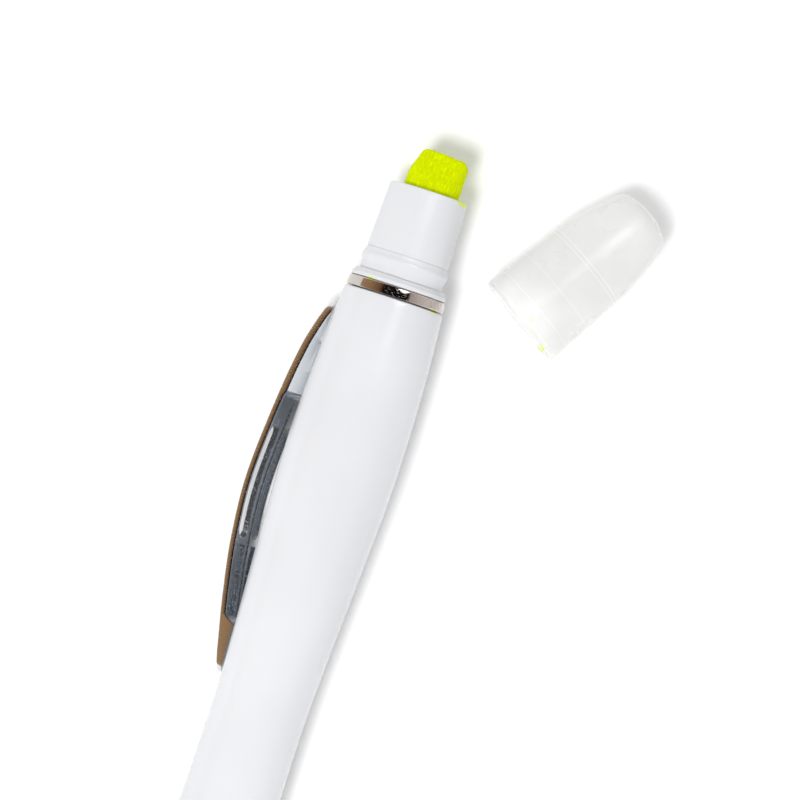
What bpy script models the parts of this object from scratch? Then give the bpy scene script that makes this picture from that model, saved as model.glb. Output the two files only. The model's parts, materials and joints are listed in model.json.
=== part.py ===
# Twin-ended pen: a capped highlighter at one end and a twist-action ballpoint at the other.
# It lies on a surface with its cap pulled off beside it.  +Y is the highlighter end, +Z is up.
#
# All sizes are in millimetres.  A station is the distance from the end face of the nib holder
# down the pen, so the ballpoint lies at high stations and the nib tip at a negative one.
import math

import bmesh
import bpy
from mathutils import Matrix, Vector

mm = 0.001
fine = 40          # flats round a large turned piece
coarse = 24        # flats round a small inner one

# Clearances
gap = 0.3              # between two pieces that touch on the real pen
slideGap = 0.3         # round a piece that turns or slides
snapGap = 0.1          # between the holder's bead and the cap's bore

# Nib, its holder and the ink chamber
nibRadius = 3.5
nibReach = 4.8         # nib in front of the holder
nibTail = 9.0
holderWall = 0.92
holderEndRadius = nibRadius + gap + holderWall
holderRootRadius = holderEndRadius + 0.34
beadRadius = holderRootRadius + 0.14
flangeStation = 11.8
beadStation = flangeStation - 2.7
neckStation = flangeStation - 1.5
neckRadius = beadRadius - 0.18
filmThickness = 0.3
reservoirRadius = nibRadius - 0.2
filmRadius = reservoirRadius + gap + filmThickness
plugWall = 0.7         # the part of the holder inside the barrel
plugRadius = filmRadius + gap + plugWall
plugEnd = flangeStation + 12.2
ringWidth = 0.9

# Refill: a mini refill of the usual length
refillLength = 66.6
refillRadius = 1.15
refillInkRadius = 0.6
ballRadius = 0.35
refillTravel = 4.5
twistAngle = math.pi
springWire = 0.2
springTurns = 8
springRadius = refillRadius + slideGap + springWire + 0.13
collarWidth = 0.8

# Twist mechanism, from the refill outwards
socketDepth = 6.0
socketWall = 0.65
guideWall = 0.8
camWall = 0.8
lugRadius = 0.8
plungerRadius = refillRadius + gap + socketWall
guideBore = plungerRadius + slideGap
guideRadius = guideBore + guideWall
camInnerRadius = guideRadius + slideGap
camRadius = camInnerRadius + camWall
boreRadius = camRadius + gap
lugReach = camRadius - 0.2

# Stations of the ballpoint end, from its tip back
noseEnd = 137.7
noseLength = 11.7
gripLength = 22.0
gripEnd = noseEnd - noseLength
gripStart = gripEnd - gripLength
springSeat = noseEnd - 5.9
pointEnd = noseEnd - 1.5
collarStation = pointEnd - 18.2
refillTubeEnd = pointEnd - 9.5
refillTail = pointEnd + 2 * ballRadius - refillLength
plungerEnd = refillTail - gap + socketDepth
lugStation = refillTail - gap - 4.0
plungerStart = lugStation - 3.0
camStart = lugStation - 6.0
camEnd = lugStation + 9.4
ringDepth = 1.0        # friction ring, along the pen
spigotStart = camEnd + 2 * gap + ringDepth
barrelEnd = spigotStart + 3.0
bandWidth = 2.4
lowerStart = barrelEnd + bandWidth + 2 * gap
guideFlangeStart = lowerStart + 1.3
guideFlangeWidth = 3.7

# Upper barrel
barrelStart = flangeStation + ringWidth + 2 * gap
barrelWall = 0.85
chamberRadius = plugRadius + gap
barrelRadius = chamberRadius + barrelWall
flangeRadius = barrelRadius - 0.25
bellyStation = 34.0
bellyRadius = 6.85
waistStation = barrelEnd - 16.0
waistRadius = boreRadius + 0.98
barrelEndRadius = waistRadius + 0.12
reservoirEnd = camStart - 12.0
chamberEnd = reservoirEnd + 1.0

# Pocket clip; its heights are above the barrel's surface
clipStart = 15.9
clipEnd = 61.3
clipWidth = 5.6
clipFlatStart = 33.0
clipFlatEnd = 43.0
clipGap = 2.15         # under the flat stretch of the arm, at the barrel's belly
clipThickness = 1.0
clipTopStation = 39.0
clipFlatRadius = bellyRadius + clipGap
clipTopRadius = clipFlatRadius + clipThickness
footLength = 4.7
footEnd = clipStart + footLength
footWidth = 3.0
clipSlotStart = 31.5
clipSlotEnd = 45.6
clipSlotWidth = 1.6
clipSpineWidth = 1.3
clipStep = 27.6         # the thick root ends in a step
clipPadStart = 54.6     # the tip pad begins with a slope

# Grip and nose
coreWall = 0.7
coreRadius = boreRadius + coreWall
gripEndRadius = coreRadius + gap + 0.6
gripBellyStation = gripStart + 10.0
noseRadius = coreRadius + 0.6
noseWall = 0.65
noseBore = refillRadius + gap
noseTipRadius = noseBore + noseWall

# Cap, measured from its mouth along its own axis
capBore = beadRadius + snapGap
capWall = 0.65
capMouthRadius = capBore + capWall
capLength = 20.2
capBendStation = 12.0
capBendRadius = capMouthRadius - 0.45
capTipRadius = capMouthRadius - 2.25
capEndWall = 1.0
capTurn = math.radians(32.1)    # the loose cap points this far clockwise of the pen
capAside = 14.8                 # its mouth lies this far to the pen's right
capBack = 11.1                  # and this far down the pen
capAhead = 17.0                 # mouth ahead of the holder's end once the cap is lined up

# The pen lies on its belly and on the lower edge of the clip.
clipEdge = math.hypot(clipTopRadius, clipWidth / 2)
clipEdgeAngle = math.atan2(clipWidth / 2, clipTopRadius)
clipDip = math.asin(bellyRadius / clipEdge) - clipEdgeAngle
penRoll = -(math.pi / 2 + clipDip)

# The loose cap lies on its mouth rim and its bend, so its closed end sits lower.
capTilt = math.atan2(capMouthRadius - capBendRadius, capBendStation)
capDirection = Vector((math.sin(capTurn) * math.cos(capTilt),
                       math.cos(capTurn) * math.cos(capTilt),
                       -math.sin(capTilt)))

# Footprint of the pen and the loose cap, measured from the pen's axis and the holder's end face
footprintLeft = -(clipTopRadius * math.cos(clipDip) + clipWidth / 2 * math.sin(clipDip))
footprintRight = capAside + capLength * math.sin(capTurn) + capTipRadius * math.cos(capTurn)
footprintTop = capLength * math.cos(capTurn) - capBack + capTipRadius * math.sin(capTurn)
penX = -(footprintLeft + footprintRight) / 2
penY = (noseEnd - footprintTop) / 2
penZ = bellyRadius
capMouth = Vector((penX + capAside, penY - capBack, capMouthRadius * math.cos(capTilt)))


def makeMaterial(name, colour, roughness, metallic=0.0):
    paint = bpy.data.materials.new(name)
    paint.use_nodes = True
    shader = paint.node_tree.nodes["Principled BSDF"]
    shader.inputs["Base Color"].default_value = (*colour, 1.0)
    shader.inputs["Roughness"].default_value = roughness
    shader.inputs["Metallic"].default_value = metallic
    paint.diffuse_color = (*colour, 1.0)
    return paint


def addEmpty(name, place, parent=None):
    empty = bpy.data.objects.new(name, None)
    empty.location = Vector(place) * mm
    empty.parent = parent
    bpy.context.scene.collection.objects.link(empty)
    return empty


def addPiece(name, form, paint, parent, offset=(0, 0, 0)):
    """Turn a bmesh in millimetres into a named object under its joint's empty."""
    bmesh.ops.remove_doubles(form, verts=form.verts, dist=1e-5)
    bmesh.ops.translate(form, verts=form.verts, vec=-Vector(offset))
    bmesh.ops.scale(form, verts=form.verts, vec=(mm, mm, mm))
    bmesh.ops.recalc_face_normals(form, faces=form.faces)
    mesh = bpy.data.meshes.new(name)
    form.to_mesh(mesh)
    form.free()
    if paint:
        mesh.materials.append(paint)
    mesh.shade_smooth()
    mesh.set_sharp_from_angle(angle=math.radians(30))
    piece = bpy.data.objects.new(name, mesh)
    piece.parent = parent
    bpy.context.scene.collection.objects.link(piece)
    return piece


def addCutter(name, form, parent, offset=(0, 0, 0)):
    cutter = addPiece(name, form, None, parent, offset)
    cutter.display_type = "WIRE"
    cutter.hide_render = True
    return cutter


def combine(piece, tool, operation):
    step = piece.modifiers.new(tool.name, "BOOLEAN")
    step.operation = operation
    step.solver = "EXACT"
    step.object = tool


def smoothRun(knots, steps):
    """A smooth curve through (station, radius) knots, with the given steps between two of them."""
    run = []
    for i in range(len(knots) - 1):
        before, start = knots[max(i - 1, 0)], knots[i]
        end, after = knots[i + 1], knots[min(i + 2, len(knots) - 1)]
        length = end[0] - start[0]
        slopeIn = (end[1] - before[1]) / (end[0] - before[0])
        slopeOut = (after[1] - start[1]) / (after[0] - start[0])
        for k in range(steps):
            t = k / steps
            rise = (3 - 2 * t) * t * t
            radius = start[1] + (end[1] - start[1]) * rise
            radius += length * t * (1 - t) * ((1 - t) * slopeIn - t * slopeOut)
            run.append((start[0] + length * t, radius))
    return run + [knots[-1]]


def radiusAt(run, station):
    for (s0, r0), (s1, r1) in zip(run, run[1:]):
        if s0 <= station <= s1:
            return r0 + (r1 - r0) * (station - s0) / (s1 - s0)
    return run[-1][1]


def turned(name, outline, paint, parent, flats=fine, offset=(0, 0, 0), forward=-1):
    """Spin an outline of (station, radius) points about Y; one that ends on the axis is solid."""
    form = bmesh.new()
    corners = [form.verts.new((radius, forward * station, 0)) for station, radius in outline]
    edges = [form.edges.new(pair) for pair in zip(corners, corners[1:])]
    if outline[0][1] > 0:
        edges.append(form.edges.new((corners[-1], corners[0])))
    bmesh.ops.spin(form, geom=corners + edges, cent=(0, 0, 0), axis=(0, 1, 0),
                   angle=2 * math.pi, steps=flats, use_merge=True)
    return addPiece(name, form, paint, parent, offset)


def tube(name, start, end, inner, outer, paint, parent, flats=coarse):
    outline = [(start, inner), (start, outer), (end, outer), (end, inner)]
    return turned(name, outline, paint, parent, flats)


def boxForm(low, high):
    form = bmesh.new()
    bmesh.ops.create_cube(form, size=1)
    size = Vector(high) - Vector(low)
    bmesh.ops.scale(form, verts=form.verts, vec=size)
    bmesh.ops.translate(form, verts=form.verts, vec=(Vector(high) + Vector(low)) / 2)
    return form


def rodForm(radius, start, end, flats=coarse):
    """A round rod along Z from start to end."""
    form = bmesh.new()
    bmesh.ops.create_cone(form, cap_ends=True, segments=flats, radius1=radius, radius2=radius,
                          depth=end - start)
    bmesh.ops.translate(form, verts=form.verts, vec=(0, 0, (start + end) / 2))
    return form


def stripForm(rings):
    """A closed strip through rings of four corners."""
    form = bmesh.new()
    rows = [[form.verts.new(corner) for corner in ring] for ring in rings]
    for row, following in zip(rows, rows[1:]):
        for i in range(4):
            j = (i + 1) % 4
            form.faces.new((row[i], row[j], following[j], following[i]))
    form.faces.new(rows[0])
    form.faces.new(rows[-1])
    return form


def makeNib(paint, pen):
    """A round fibre rod, shaved on both sides to a chisel with a slightly slanted edge."""
    form = rodForm(nibRadius, -nibTail, nibReach)
    bmesh.ops.rotate(form, verts=form.verts, matrix=Matrix.Rotation(-math.pi / 2, 3, "X"))
    side = math.radians(20)
    cuts = [((0, 0, nibRadius), (0, math.sin(side), math.cos(side))),
            ((0, 0, -nibRadius), (0, math.sin(side), -math.cos(side))),
            ((0.3 - nibRadius, 0.8, 0), (-math.cos(side), math.sin(side), 0)),
            ((1.5, nibReach - 0.25, 0), (0.09, 1, 0))]
    for point, normal in cuts:
        cut = bmesh.ops.bisect_plane(form, geom=form.verts[:] + form.edges[:] + form.faces[:],
                                     plane_co=point, plane_no=Vector(normal).normalized(),
                                     clear_outer=True)
        rim = [item for item in cut["geom_cut"] if isinstance(item, bmesh.types.BMEdge)]
        bmesh.ops.contextual_create(form, geom=rim)
    nib = addPiece("highlighter_nib", form, paint, pen)
    nib.rotation_euler = (0, -penRoll, 0)


def makeHolder(paint, pen):
    """Nose sleeve, parting line, bead, groove and shoulder, and the plug inside the barrel."""
    step = beadStation - 1.3       # parting line
    shell = [(0, holderEndRadius - 0.2), (0.2, holderEndRadius), (step, holderRootRadius - 0.04),
             (step + 0.1, holderRootRadius), (beadStation - 0.3, beadRadius - 0.04),
             (beadStation, beadRadius), (beadStation + 0.4, beadRadius - 0.05),
             (neckStation, neckRadius), (neckStation + 0.35, neckRadius),
             (neckStation + 0.5, flangeRadius - 0.3), (flangeStation - 0.4, flangeRadius),
             (flangeStation, flangeRadius)]
    plug = [(flangeStation, plugRadius), (plugEnd - 0.5, plugRadius), (plugEnd, plugRadius - 0.3)]
    bore = [(plugEnd, filmRadius + gap), (nibTail + gap / 2, filmRadius + gap),
            (nibTail + gap / 2, nibRadius + gap), (0, nibRadius + gap)]
    turned("nib_holder", shell + plug + bore, paint, pen)


def makeReservoir(fibre, film, plastic, pen):
    start = nibTail + gap
    rod = [(start, 0), (start, reservoirRadius), (reservoirEnd, reservoirRadius), (reservoirEnd, 0)]
    turned("ink_reservoir", rod, fibre, pen, coarse)
    inner = filmRadius - filmThickness
    tube("reservoir_film", start + gap, reservoirEnd, inner, filmRadius, film, pen)
    start = reservoirEnd + 2.5
    end = start + 4
    cup = [(start, 0), (start, camRadius), (end, camRadius), (end, camRadius - 0.9),
           (start + 1.2, camRadius - 0.9), (start + 1.2, 0)]
    turned("reservoir_plug", cup, plastic, pen, coarse)


def blend(start, end, share):
    return start + (end - start) * share


barrelRun = smoothRun([(barrelStart, barrelRadius),
                       (blend(barrelStart, bellyStation, 0.42),
                        blend(barrelRadius, bellyRadius, 0.71)),
                       (bellyStation, bellyRadius),
                       (blend(bellyStation, waistStation, 0.37),
                        blend(bellyRadius, waistRadius, 0.34)),
                       (blend(bellyStation, waistStation, 0.72),
                        blend(bellyRadius, waistRadius, 0.76)),
                       (waistStation, waistRadius), (barrelEnd, barrelEndRadius)], 3)


def makeUpperBarrel(paint, pen):
    bore = [(barrelEnd, boreRadius), (chamberEnd, boreRadius), (chamberEnd - 2, chamberRadius),
            (barrelStart, chamberRadius)]
    barrel = turned("upper_barrel", barrelRun + bore, paint, pen)
    slot = boxForm((-footWidth / 2 - gap, -footEnd - gap, chamberRadius - 1),
                   (footWidth / 2 + gap, -clipStart + gap, bellyRadius + 1))
    combine(barrel, addCutter("clip_foot_slot", slot, pen), "DIFFERENCE")


def onBarrel(station, height):
    return (station, radiusAt(barrelRun, station) + height)


def clipUnderside(station):
    """The clip's underside; the arm has one flat stretch over the barrel's belly."""
    if station <= footEnd:
        return radiusAt(barrelRun, station) + gap
    corners = [onBarrel(footEnd, gap), onBarrel(clipStep, 1.15),
               onBarrel(clipStep + 0.3, 1.65),
               (clipFlatStart, clipFlatRadius), (clipFlatEnd, clipFlatRadius),
               onBarrel(clipPadStart, 1.15), onBarrel(clipPadStart + 1.2, 0.4),
               onBarrel(clipEnd, 0.35)]
    return radiusAt(corners, station)


def makeClip(paint, clipJoint, hinge):
    """One moulding: a foot through the barrel wall, a thick root, a slotted arm and a tip pad."""
    outer = smoothRun([onBarrel(clipStart, 0.75), onBarrel(21.8, 1.85), onBarrel(30.4, 2.7),
                       (clipTopStation, clipTopRadius), onBarrel(46.7, 2.9), onBarrel(52.0, 2.25),
                       onBarrel(57.8, 1.3), onBarrel(clipEnd, 0.75)], 3)
    width = [(clipStart, 4.2), (18.5, 5.2), (25.0, clipWidth), (46.0, clipWidth),
             (clipPadStart, clipWidth - 0.8), (59.6, clipWidth - 1.8), (clipEnd, clipWidth - 3)]
    breaks = [station for station, _ in outer + width]
    breaks += [footEnd, clipStep, clipStep + 0.3, clipFlatStart, clipFlatEnd, clipPadStart,
               clipPadStart + 1.2]
    rings = []
    for station in sorted(set(round(value, 3) for value in breaks)):
        half = radiusAt(width, station) / 2
        low, high = clipUnderside(station), radiusAt(outer, station)
        rings.append([(-half, -station, low), (half, -station, low),
                      (half, -station, high), (-half, -station, high)])
    clip = addPiece("pocket_clip", stripForm(rings), paint, clipJoint, hinge)

    foot = boxForm((-footWidth / 2, -footEnd, chamberRadius + 0.05),
                   (footWidth / 2, -clipStart, radiusAt(barrelRun, clipStart) + 0.6))
    combine(clip, addCutter("clip_foot", foot, clipJoint, hinge), "UNION")
    for name, side in (("clip_slot_left", -1), ("clip_slot_right", 1)):
        centre = side * (clipSpineWidth + clipSlotWidth) / 2
        slot = slotForm(clipSlotWidth, clipSlotStart, clipSlotEnd, centre)
        combine(clip, addCutter(name, slot, clipJoint, hinge), "DIFFERENCE")


def slotForm(width, start, end, centre):
    """A round-ended slot cutter that runs down the pen and cuts through the clip."""
    form = bmesh.new()
    half, turns = width / 2, 6
    outline = []
    for station, first in ((start + half, 0), (end - half, math.pi)):
        for k in range(turns + 1):
            angle = first + math.pi * k / turns
            outline.append((centre + half * math.cos(angle), -station + half * math.sin(angle),
                            clipFlatRadius - 2))
    face = form.faces.new([form.verts.new(point) for point in outline])
    top = bmesh.ops.extrude_face_region(form, geom=[face])["geom"]
    bmesh.ops.translate(form, verts=[v for v in top if isinstance(v, bmesh.types.BMVert)],
                        vec=(0, 0, 5))
    return form


def helixForm(station, travel, turn):
    """The cut that a round lug sweeps as it turns and moves down the pen, with running clearance."""
    middle = (camInnerRadius + camRadius) / 2
    slope = math.atan(travel / (turn * middle))
    half = (lugRadius + slideGap) / math.cos(slope)
    extra = (lugRadius + slideGap) * math.cos(slope) / middle
    steps = 28
    inner, outer = camInnerRadius - 0.8, camRadius + 0.8
    rings = []
    for k in range(steps + 1):
        around = -extra + (turn + 2 * extra) * k / steps
        centre = station + travel * around / turn
        corners = ((inner, centre - half), (outer, centre - half),
                   (outer, centre + half), (inner, centre + half))
        rings.append([(radius * math.sin(around), -along, radius * math.cos(around))
                      for radius, along in corners])
    return stripForm(rings)


def makeCam(plastic, rubber, pen):
    """The helical cam is fixed in the upper barrel; the lug runs in its slot."""
    cam = tube("cam_tube", camStart, camEnd, camInnerRadius, camRadius, plastic, pen)
    slot = helixForm(lugStation, refillTravel, twistAngle)
    combine(cam, addCutter("cam_slot", slot, pen), "DIFFERENCE")
    start, end = camStart - 3, camStart - gap
    lid = [(start, 0), (start, camRadius), (end, camRadius), (end, 0)]
    turned("cam_end_cap", lid, plastic, pen, coarse)
    start = camEnd + gap
    end = start + ringDepth
    inner, corner = camInnerRadius, 0.2
    ring = [(start, inner + corner), (start, camRadius - corner), (start + corner, camRadius),
            (end - corner, camRadius), (end, camRadius - corner), (end, inner + corner),
            (end - corner, inner), (start + corner, inner)]
    turned("friction_ring", ring, rubber, pen, coarse)


def makeGuide(plastic, twist):
    """The guide is fixed in the lower barrel; its straight slot keeps the lug from turning."""
    start, end = camStart + 1.5, guideFlangeStart + guideFlangeWidth
    outline = [(start, guideBore), (start, guideRadius), (guideFlangeStart, guideRadius),
               (guideFlangeStart, camRadius), (end, camRadius), (end, guideBore)]
    guide = turned("guide_sleeve", outline, plastic, twist, coarse)
    half = lugRadius + slideGap
    slot = boxForm((-half, -(lugStation + refillTravel + half), guideBore - 0.8),
                   (half, -(lugStation - half), guideRadius + 0.8))
    combine(guide, addCutter("guide_slot", slot, twist), "DIFFERENCE")


def makePlunger(plastic, refill):
    socket = refillRadius + gap
    outline = [(plungerStart, 0), (plungerStart, plungerRadius), (plungerEnd, plungerRadius),
               (plungerEnd, socket), (plungerEnd - socketDepth, socket),
               (plungerEnd - socketDepth, 0)]
    plunger = turned("plunger", outline, plastic, refill, coarse)
    lug = rodForm(lugRadius, plungerRadius - 0.6, lugReach, 16)
    bmesh.ops.translate(lug, verts=lug.verts, vec=(0, -lugStation, 0))
    combine(plunger, addCutter("plunger_lug", lug, refill), "UNION")


def makeLowerBarrel(paint, twist):
    """A spigot that turns in the upper barrel, a flared shell and the core under the grip."""
    end = gripStart - gap
    start = barrelEndRadius + 0.05
    outer = smoothRun([(lowerStart, start),
                       (blend(lowerStart, end, 0.34), blend(start, gripEndRadius, 0.3)),
                       (blend(lowerStart, end, 0.67), blend(start, gripEndRadius, 0.67)),
                       (end, gripEndRadius)], 2)
    core = [(end, coreRadius), (gripEnd, coreRadius)]
    bore = [(gripEnd, boreRadius), (guideFlangeStart - gap, boreRadius),
            (guideFlangeStart - gap, camInnerRadius), (spigotStart, camInnerRadius)]
    spigot = [(spigotStart, boreRadius - slideGap), (lowerStart, boreRadius - slideGap)]
    turned("lower_barrel", spigot + outer + core + bore, paint, twist)


def makeGrip(rubber, twist):
    """A soft sleeve whose belly is as thick as the barrel's, so that the pen lies level."""
    inner = coreRadius + gap
    endRadius = gripEndRadius - 0.15
    swell = smoothRun([(gripStart, gripEndRadius),
                       (blend(gripStart, gripBellyStation, 0.5),
                        blend(gripEndRadius, bellyRadius, 0.74)),
                       (gripBellyStation, bellyRadius),
                       (blend(gripBellyStation, gripEnd, 0.5), blend(bellyRadius, endRadius, 0.34)),
                       (gripEnd, endRadius)], 2)
    turned("grip_sleeve", swell + [(gripEnd, inner), (gripStart, inner)], rubber, twist)


def makeNose(metal, twist):
    """The nose cone plugs into the core; a step in its bore seats the return spring."""
    start, end = gripEnd + gap, noseEnd - 0.4
    spigotBore = camRadius - 0.9
    seatBore = springRadius + springWire + gap
    shell = smoothRun([(start, noseRadius),
                       (blend(start, end, 0.34), blend(noseRadius, noseTipRadius, 0.25)),
                       (blend(start, end, 0.7), blend(noseRadius, noseTipRadius, 0.645)),
                       (end, noseTipRadius)], 2)
    outline = [(gripEnd - 7, spigotBore), (gripEnd - 7, camRadius), (start, camRadius)] + shell
    outline += [(noseEnd, noseTipRadius - 0.3), (noseEnd, noseBore), (springSeat, noseBore),
                (springSeat, seatBore), (springSeat - 1.8, seatBore), (gripEnd, spigotBore)]
    turned("nose_cone", outline, metal, twist)


def makeRefill(metal, ink, brass, steel, refill):
    bore = refillInkRadius + gap
    collar = [(collarStation, refillRadius), (collarStation + 0.3, springRadius),
              (collarStation + collarWidth, springRadius),
              (collarStation + collarWidth, refillRadius)]
    shell = [(refillTail, bore), (refillTail, refillRadius)] + collar
    shell += [(refillTubeEnd, refillRadius), (refillTubeEnd, bore)]
    turned("refill_tube", shell, metal, refill, 16)
    start, end = refillTail + 8, refillTubeEnd - gap
    column = [(start, 0), (start, refillInkRadius), (end, refillInkRadius), (end, 0)]
    turned("refill_ink", column, ink, refill, 12)
    start = refillTubeEnd + gap
    neck = refillRadius - 0.25
    point = [(start, 0), (start, refillRadius), (pointEnd - 5.7, refillRadius),
             (pointEnd - 5.2, neck), (pointEnd - 2.2, neck), (pointEnd, ballRadius + 0.05),
             (pointEnd, 0)]
    turned("refill_point", point, brass, refill, 16)
    form = bmesh.new()
    bmesh.ops.create_uvsphere(form, u_segments=12, v_segments=8, radius=ballRadius)
    bmesh.ops.translate(form, verts=form.verts, vec=(0, -(pointEnd + 0.02 + ballRadius), 0))
    addPiece("refill_ball", form, steel, refill)


def makeSpring(steel, twist):
    """A round wire coil between the collar on the refill and the step in the nose cone."""
    start = collarStation + collarWidth + gap + springWire
    end = springSeat - gap - springWire
    steps, sides = springTurns * 16, 6
    form = bmesh.new()
    rows = []
    for k in range(steps + 1):
        turn = 2 * math.pi * springTurns * k / steps
        row = []
        for i in range(sides):
            angle = 2 * math.pi * i / sides
            radius = springRadius + springWire * math.cos(angle)
            along = blend(start, end, k / steps) + springWire * math.sin(angle)
            row.append(form.verts.new((radius * math.sin(turn), -along, radius * math.cos(turn))))
        rows.append(row)
    for row, following in zip(rows, rows[1:]):
        for i in range(sides):
            j = (i + 1) % sides
            form.faces.new((row[i], row[j], following[j], following[i]))
    form.faces.new(rows[0])
    form.faces.new(rows[-1])
    addPiece("return_spring", form, steel, twist)


def makeCap(frosted, joint):
    """A bullet-shaped cap with a snap recess by its mouth and a sealing step half way up."""
    shoulder = blend(capBendRadius, capTipRadius, 0.41)
    outer = smoothRun([(0, capMouthRadius), (6, blend(capMouthRadius, capBendRadius, 0.47)),
                       (capBendStation, capBendRadius), (16, shoulder),
                       (capLength - 0.7, capTipRadius)], 3)
    dome = [(capLength - 0.3, capTipRadius - 1), (capLength - 0.08, capTipRadius - 2.3),
            (capLength, 0)]
    end = capLength - capEndWall
    inner = [(0, capBore + 0.1), (2.4, capBore), (2.6, capBore - 0.18), (9.8, capBore - 0.34),
             (10.2, capBore - 0.58), (capBendStation, capBore - 0.68), (16, shoulder - 0.85),
             (end - 0.6, capTipRadius - 0.9), (end - 0.1, capTipRadius - 2.3), (end, 0)]
    return turned("highlighter_cap", (outer + dome)[::-1] + inner, frosted, joint, forward=1)


def capHinge():
    """Axis and centre of the turn that lines the loose cap up with the nib."""
    goal = Vector((penX, penY + capAhead, penZ))
    shift = goal - capMouth
    aim = Vector((0, 1, 0))
    axis = shift.cross(aim - capDirection).normalized()
    if axis.z < 0:
        axis = -axis
    flatFrom = capDirection - axis * capDirection.dot(axis)
    flatTo = aim - axis * aim.dot(axis)
    angle = flatFrom.angle(flatTo)
    centre = (capMouth + goal) / 2 + axis.cross(shift) / (2 * math.tan(angle / 2))
    return axis, centre


def main():
    for item in list(bpy.data.objects):
        bpy.data.objects.remove(item, do_unlink=True)

    white = makeMaterial("white_gloss_plastic", (0.86, 0.86, 0.86), 0.28)
    holderWhite = makeMaterial("white_satin_plastic", (0.84, 0.84, 0.84), 0.4)
    chrome = makeMaterial("chrome_plating", (0.75, 0.76, 0.78), 0.12, 1.0)
    frosted = makeMaterial("frosted_cap_plastic", (0.88, 0.89, 0.88), 0.35)
    felt = makeMaterial("fluorescent_felt", (0.68, 0.87, 0.0), 0.8)
    fibre = makeMaterial("inked_fibre", (0.75, 0.85, 0.1), 0.85)
    film = makeMaterial("clear_film", (0.8, 0.82, 0.8), 0.25)
    natural = makeMaterial("natural_plastic", (0.78, 0.77, 0.72), 0.4)
    rubber = makeMaterial("grey_rubber", (0.3, 0.31, 0.32), 0.7)
    blackRubber = makeMaterial("black_rubber", (0.03, 0.03, 0.03), 0.7)
    nickel = makeMaterial("nickel_tube", (0.62, 0.6, 0.56), 0.25, 1.0)
    ink = makeMaterial("blue_black_ink", (0.01, 0.01, 0.03), 0.3)
    brass = makeMaterial("brass_point", (0.7, 0.52, 0.24), 0.25, 1.0)
    steel = makeMaterial("spring_steel", (0.55, 0.56, 0.58), 0.3, 1.0)

    pen = addEmpty("pen_axis", (penX, penY, penZ))
    pen.rotation_euler = (0, penRoll, 0)
    twist = addEmpty("twist_joint", (0, 0, 0), pen)
    refill = addEmpty("refill_joint", (0, 0, 0), twist)
    hinge = (0, -(clipStart + footEnd) / 2, radiusAt(barrelRun, clipStart) + 0.1)
    clipJoint = addEmpty("clip_joint", hinge, pen)

    makeNib(felt, pen)
    makeHolder(holderWhite, pen)
    makeReservoir(fibre, film, natural, pen)
    ringStart = flangeStation + gap
    tube("trim_ring", ringStart, ringStart + ringWidth, chamberRadius, barrelRadius - 0.05, chrome,
         pen, fine)
    makeUpperBarrel(white, pen)
    makeClip(chrome, clipJoint, hinge)
    makeCam(natural, blackRubber, pen)
    bandStart = barrelEnd + gap
    tube("centre_band", bandStart, bandStart + bandWidth, boreRadius, barrelEndRadius + 0.15, chrome,
         twist, fine)
    makeGuide(natural, twist)
    makeLowerBarrel(white, twist)
    makeGrip(rubber, twist)
    makeNose(chrome, twist)
    makeSpring(steel, twist)
    makePlunger(natural, refill)
    makeRefill(nickel, ink, brass, steel, refill)

    axis, centre = capHinge()
    capJoint = addEmpty("cap_joint", centre)
    capJoint.rotation_mode = "QUATERNION"
    capJoint.rotation_quaternion = Vector((0, 0, 1)).rotation_difference(axis)
    cap = makeCap(frosted, capJoint)
    place = Matrix.Translation(capMouth * mm)
    place @= Vector((0, 1, 0)).rotation_difference(capDirection).to_matrix().to_4x4()
    hinge = Matrix.Translation(centre * mm) @ capJoint.rotation_quaternion.to_matrix().to_4x4()
    cap.matrix_local = hinge.inverted() @ place


main()
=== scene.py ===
import json
import math

import bmesh
import bpy
from mathutils import Matrix, Vector, noise


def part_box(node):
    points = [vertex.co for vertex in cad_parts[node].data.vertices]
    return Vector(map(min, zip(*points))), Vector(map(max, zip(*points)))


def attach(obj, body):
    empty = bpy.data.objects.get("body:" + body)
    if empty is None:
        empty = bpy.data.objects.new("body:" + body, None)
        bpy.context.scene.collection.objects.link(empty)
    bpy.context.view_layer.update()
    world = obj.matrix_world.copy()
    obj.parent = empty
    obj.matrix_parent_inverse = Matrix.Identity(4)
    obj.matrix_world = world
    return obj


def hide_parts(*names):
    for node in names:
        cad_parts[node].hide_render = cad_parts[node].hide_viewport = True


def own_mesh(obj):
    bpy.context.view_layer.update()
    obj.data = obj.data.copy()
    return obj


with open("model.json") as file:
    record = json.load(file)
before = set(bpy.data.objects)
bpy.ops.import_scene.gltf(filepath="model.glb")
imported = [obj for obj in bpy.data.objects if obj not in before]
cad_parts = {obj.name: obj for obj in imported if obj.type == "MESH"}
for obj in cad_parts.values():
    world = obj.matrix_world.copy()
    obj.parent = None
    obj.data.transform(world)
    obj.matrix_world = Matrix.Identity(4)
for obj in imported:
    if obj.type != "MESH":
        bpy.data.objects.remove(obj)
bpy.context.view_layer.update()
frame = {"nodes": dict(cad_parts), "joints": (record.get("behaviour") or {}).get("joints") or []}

print("frame loaded:", len(frame["nodes"]), "nodes")

# Twin-ended pen: a highlighter with its cap off, and a twist-action ballpoint at the other end.
# Shapes are drawn in millimetres along the pen and put in place by one matrix each.
mm = 0.001
joints = {joint["name"]: joint for joint in frame["joints"]}


holderLow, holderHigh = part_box("nib_holder")
penOrigin = Vector(((holderLow.x + holderHigh.x) / 2, holderHigh.y,
                    (holderLow.z + holderHigh.z) / 2))
clipAxis = Vector(joints["clip_flex"]["axis"])
penRoll = math.atan2(clipAxis.z, -clipAxis.x)

# +Y towards the nib from the holder's end face, +Z towards the clip
penPlace = Matrix.Translation(penOrigin) @ Matrix.Rotation(penRoll, 4, "Y") @ Matrix.Scale(mm, 4)
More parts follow.
